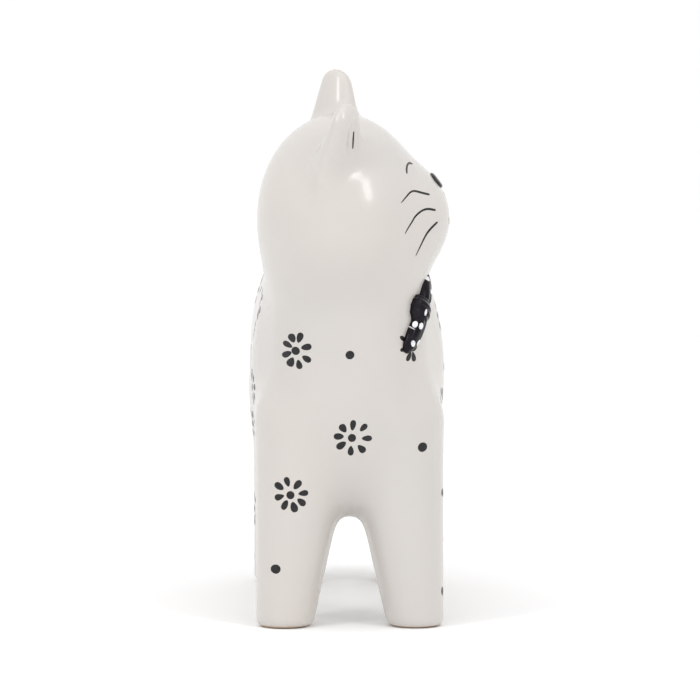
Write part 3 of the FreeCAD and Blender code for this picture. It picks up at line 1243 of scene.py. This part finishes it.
@dataclass(frozen=True)
class Bow:
    """The moulded bow: a knot and two pleated loops pressed round the neck."""

    form: CatForm
    pitch: float = 0.35
    room: float = 19.0
    bedding: float = 0.6
    wrap: float = 0.010
    loop_beads: tuple[tuple[float, float, float, float], ...] = (
        (3.6, 3.6, 3.0, 2.1),
        (7.6, 4.2, 3.3, 2.2),
        (11.6, 3.6, 2.7, 1.8),
    )
    knot_radii: tuple[float, float, float] = (3.4, 4.9, 5.0)
    knot_shift: tuple[float, float, float] = (-0.7, -1.2, 0.0)
    pleat_depth: float = 0.22
    pleat_pitch: float = 1.9

    def axes(self) -> tuple[np.ndarray, np.ndarray]:
        """Return the knot's middle and the bow's directions: outward, along and across."""
        middles = {}
        for node in ("bow_knot", "bow_right_loop", "bow_left_loop"):
            low, high = node_box(node)
            middles[node] = (low + high) / 2.0
        along = middles["bow_left_loop"] - middles["bow_right_loop"]
        along /= np.linalg.norm(along)
        outward = np.cross(along, (0.0, 0.0, 1.0))
        outward /= np.linalg.norm(outward)
        return middles["bow_knot"], np.stack([outward, along, np.cross(outward, along)], 1)

    def local(self, points: np.ndarray) -> np.ndarray:
        """Return points in the bow's frame, unwrapped from the neck."""
        middle, axes = self.axes()
        q = (points - middle) @ axes
        bend = self.wrap * np.minimum(np.abs(q[..., 1]), 20.0) ** 2
        return np.stack([q[..., 0] + bend, q[..., 1], q[..., 2]], -1)

    def knot(self, points: np.ndarray) -> np.ndarray:
        """Return the distance of each point from the knot."""
        q = self.local(points - np.array(self.knot_shift))
        pleats = np.cos(q[..., 1] * 2.0 * math.pi / self.pleat_pitch)
        return Ellipsoid((0.0, 0.0, 0.0), self.knot_radii).distance(q) + self.pleat_depth * 0.5 * pleats

    def loop(self, points: np.ndarray, side: float) -> np.ndarray:
        """Return the distance of each point from one loop; side is +1 for the cat's left."""
        q = self.local(points)
        d = None
        for way, along, across, out in self.loop_beads:
            bead = Ellipsoid((0.0, side * way, 0.0), (out, along, across)).distance(q)
            d = bead if d is None else smooth_min(d, bead, 3.0)
        fan = q[..., 2] / (1.0 + np.abs(q[..., 1]) * 0.14)
        pleats = np.cos(fan * 2.0 * math.pi / self.pleat_pitch) * np.exp(-np.abs(q[..., 1]) / 9.0)
        return d + self.pleat_depth * pleats

    def whole(self, points: np.ndarray) -> np.ndarray:
        """Return the distance of each point from the bow."""
        loops = np.minimum(self.loop(points, -1.0), self.loop(points, 1.0))
        return np.minimum(loops, self.knot(points))

    def build(self) -> list[bpy.types.Object]:
        """Mesh the three pieces and paint their dots and crease lines.

        Returns:
            The finished pieces.
        """
        parts = (
            ("bow_knot", self.knot),
            ("bow_right_loop", lambda points: self.loop(points, -1.0)),
            ("bow_left_loop", lambda points: self.loop(points, 1.0)),
        )
        middle, _ = self.axes()
        glaze = BOW_GLAZE.material()
        made = []
        for node, shape in parts:
            net = net_from_form(shape, middle - self.room, middle + self.room, self.pitch)
            outside, _ = divided(net, self.form.distance(net.points) + self.bedding)
            made.append(finished(f"{node}_glaze", outside, glaze, node))
        made += self.paint()
        return made

    def paint(self) -> list[bpy.types.Object]:
        """Paint the white dots and the fine pale lines where the loops meet the knot."""
        painter = Painter(self.whole, crown=0.09, sunk=0.05)
        dots = [
            (FRONT, Blob((22.6, 95.0), 2.3, 0.85, 78.0)),
            (FRONT, Blob((19.3, 91.6), 2.2, 1.9, 60.0)),
            (FRONT, Blob((21.15, 91.0), 2.3, 1.5, 80.0)),
            (FRONT, Blob((18.7, 85.9), 2.3, 1.5, 95.0, 0.15)),
        ]
        for place in (
            (-47.6, 96.8),
            (-46.2, 100.6),
            (-42.6, 103.6),
            (-46.4, 104.6),
            (-42.2, 99.8),
            (-52.0, 88.6),
            (-55.2, 86.0),
        ):
            dots.append((LEFT_FLANK, Blob(place, 2.1, 1.9)))
        creases = [
            (FRONT, Stroke(((20.9, 101.1, 0.3), (22.1, 100.2, 0.4), (23.3, 99.9, 0.4), (24.5, 100.2, 0.3)))),
            (FRONT, Stroke(((16.0, 90.7, 0.3), (17.3, 91.0, 0.4), (18.2, 90.6, 0.35), (19.3, 90.1, 0.25)))),
            (FRONT, Stroke(((20.9, 100.3, 0.35), (20.3, 99.2, 0.4), (19.7, 98.0, 0.25)))),
        ]
        return [painter.piece("bow_dots", dots + creases, DOT_PAINT, "black_enamel")]


# ---------------------------------------------------------------- light, floor and camera
@dataclass(frozen=True)
class Softbox:
    """A soft studio light that faces the figurine."""

    name: str
    azimuth: float
    elevation: float
    width: float
    height: float
    power: float
    distance: float = 1.1

    def build(self, target: Vector) -> bpy.types.Object:
        """Place the light.

        Args:
            target: The point it faces, in metres.

        Returns:
            The light.
        """
        lamp = bpy.data.lights.new(self.name, "AREA")
        lamp.shape = "RECTANGLE"
        lamp.size, lamp.size_y = self.width, self.height
        lamp.energy = self.power
        return aimed(self.name, lamp, target, direction(self.azimuth, self.elevation), self.distance)


@dataclass(frozen=True)
class Studio:
    """Pale floor, soft lights, pale surroundings and the camera."""

    floor_half: float = 3.0
    sweep_start: float = 0.8
    sweep_radius: float = 1.2
    surround: float = 1.04
    azimuth: float = -1.43
    elevation: float = 5.0
    camera_distance: float = 1.55
    lens: float = 257.0
    aim_x: float = 0.00125
    aim_height: float = 0.4735
    lit_point: tuple[float, float, float] = (0.0, -0.03, 0.11)
    lights: tuple[Softbox, ...] = (
        Softbox("left_strip", -48.0, 33.0, 0.20, 0.55, 2.3),
        Softbox("right_strip", 40.0, 31.0, 0.24, 0.44, 1.9),
        Softbox("top_soft", 0.0, 75.0, 0.9, 0.9, 2.0),
    )

    def floor(self) -> bpy.types.Object:
        """Build the pale floor as a sheet that sweeps up behind the figurine."""
        half = self.floor_half
        profile = [(-half, 0.0), (self.sweep_start, 0.0)]
        for step in range(1, 13):
            turn = math.radians(7.5 * step)
            back = self.sweep_start + self.sweep_radius * math.sin(turn)
            profile.append((back, self.sweep_radius * (1.0 - math.cos(turn))))
        profile.append((profile[-1][0], half))
        corners = [(x, y, z) for y, z in profile for x in (-half, half)]
        faces = [(2 * i, 2 * i + 1, 2 * i + 3, 2 * i + 2) for i in range(len(profile) - 1)]
        mesh = bpy.data.meshes.new("studio_floor")
        mesh.from_pydata(corners, [], faces)
        mesh.shade_smooth()
        mesh.materials.append(FLOOR.material())
        made = bpy.data.objects.new("studio_floor", mesh)
        bpy.context.scene.collection.objects.link(made)
        made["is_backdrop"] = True
        return made

    def world(self) -> None:
        """Surround the scene with even pale light."""
        scene = bpy.context.scene
        scene.world = bpy.data.worlds.new("studio_world")
        scene.world.use_nodes = True
        sky = scene.world.node_tree.nodes["Background"]
        sky.inputs["Color"].default_value = (1.0, 1.0, 1.0, 1.0)
        sky.inputs["Strength"].default_value = self.surround
        scene.view_settings.view_transform = "Standard"

    def camera(self, low: Vector, high: Vector) -> None:
        """Create the camera and aim it at the figurine.

        Args:
            low: Lowest corner of the figurine.
            high: Highest corner of the figurine.
        """
        aim = Vector((self.aim_x, 0.0, low.z + (high.z - low.z) * self.aim_height))
        lens = bpy.data.cameras.new("studio_camera")
        lens.lens = self.lens
        lens.clip_start, lens.clip_end = 0.05, 20.0
        back = direction(self.azimuth, self.elevation)
        bpy.context.scene.camera = aimed("studio_camera", lens, aim, back, self.camera_distance)

    def build(self, low: Vector, high: Vector) -> None:
        """Set up floor, light, world and camera."""
        self.floor()
        self.world()
        for softbox in self.lights:
            softbox.build(Vector(self.lit_point))
        self.camera(low, high)


def main() -> None:
    """Build every piece in order."""
    logging.basicConfig(level=logging.INFO, format="%(name)s: %(message)s")
    cad_low, cad_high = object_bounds()
    form = form_from_frame()
    Skin(form).build()
    Nose(form).build()
    Bow(form).build()
    Decoration(form).build()
    Studio().build(cad_low, cad_high)


if __name__ == "__main__":
    main()
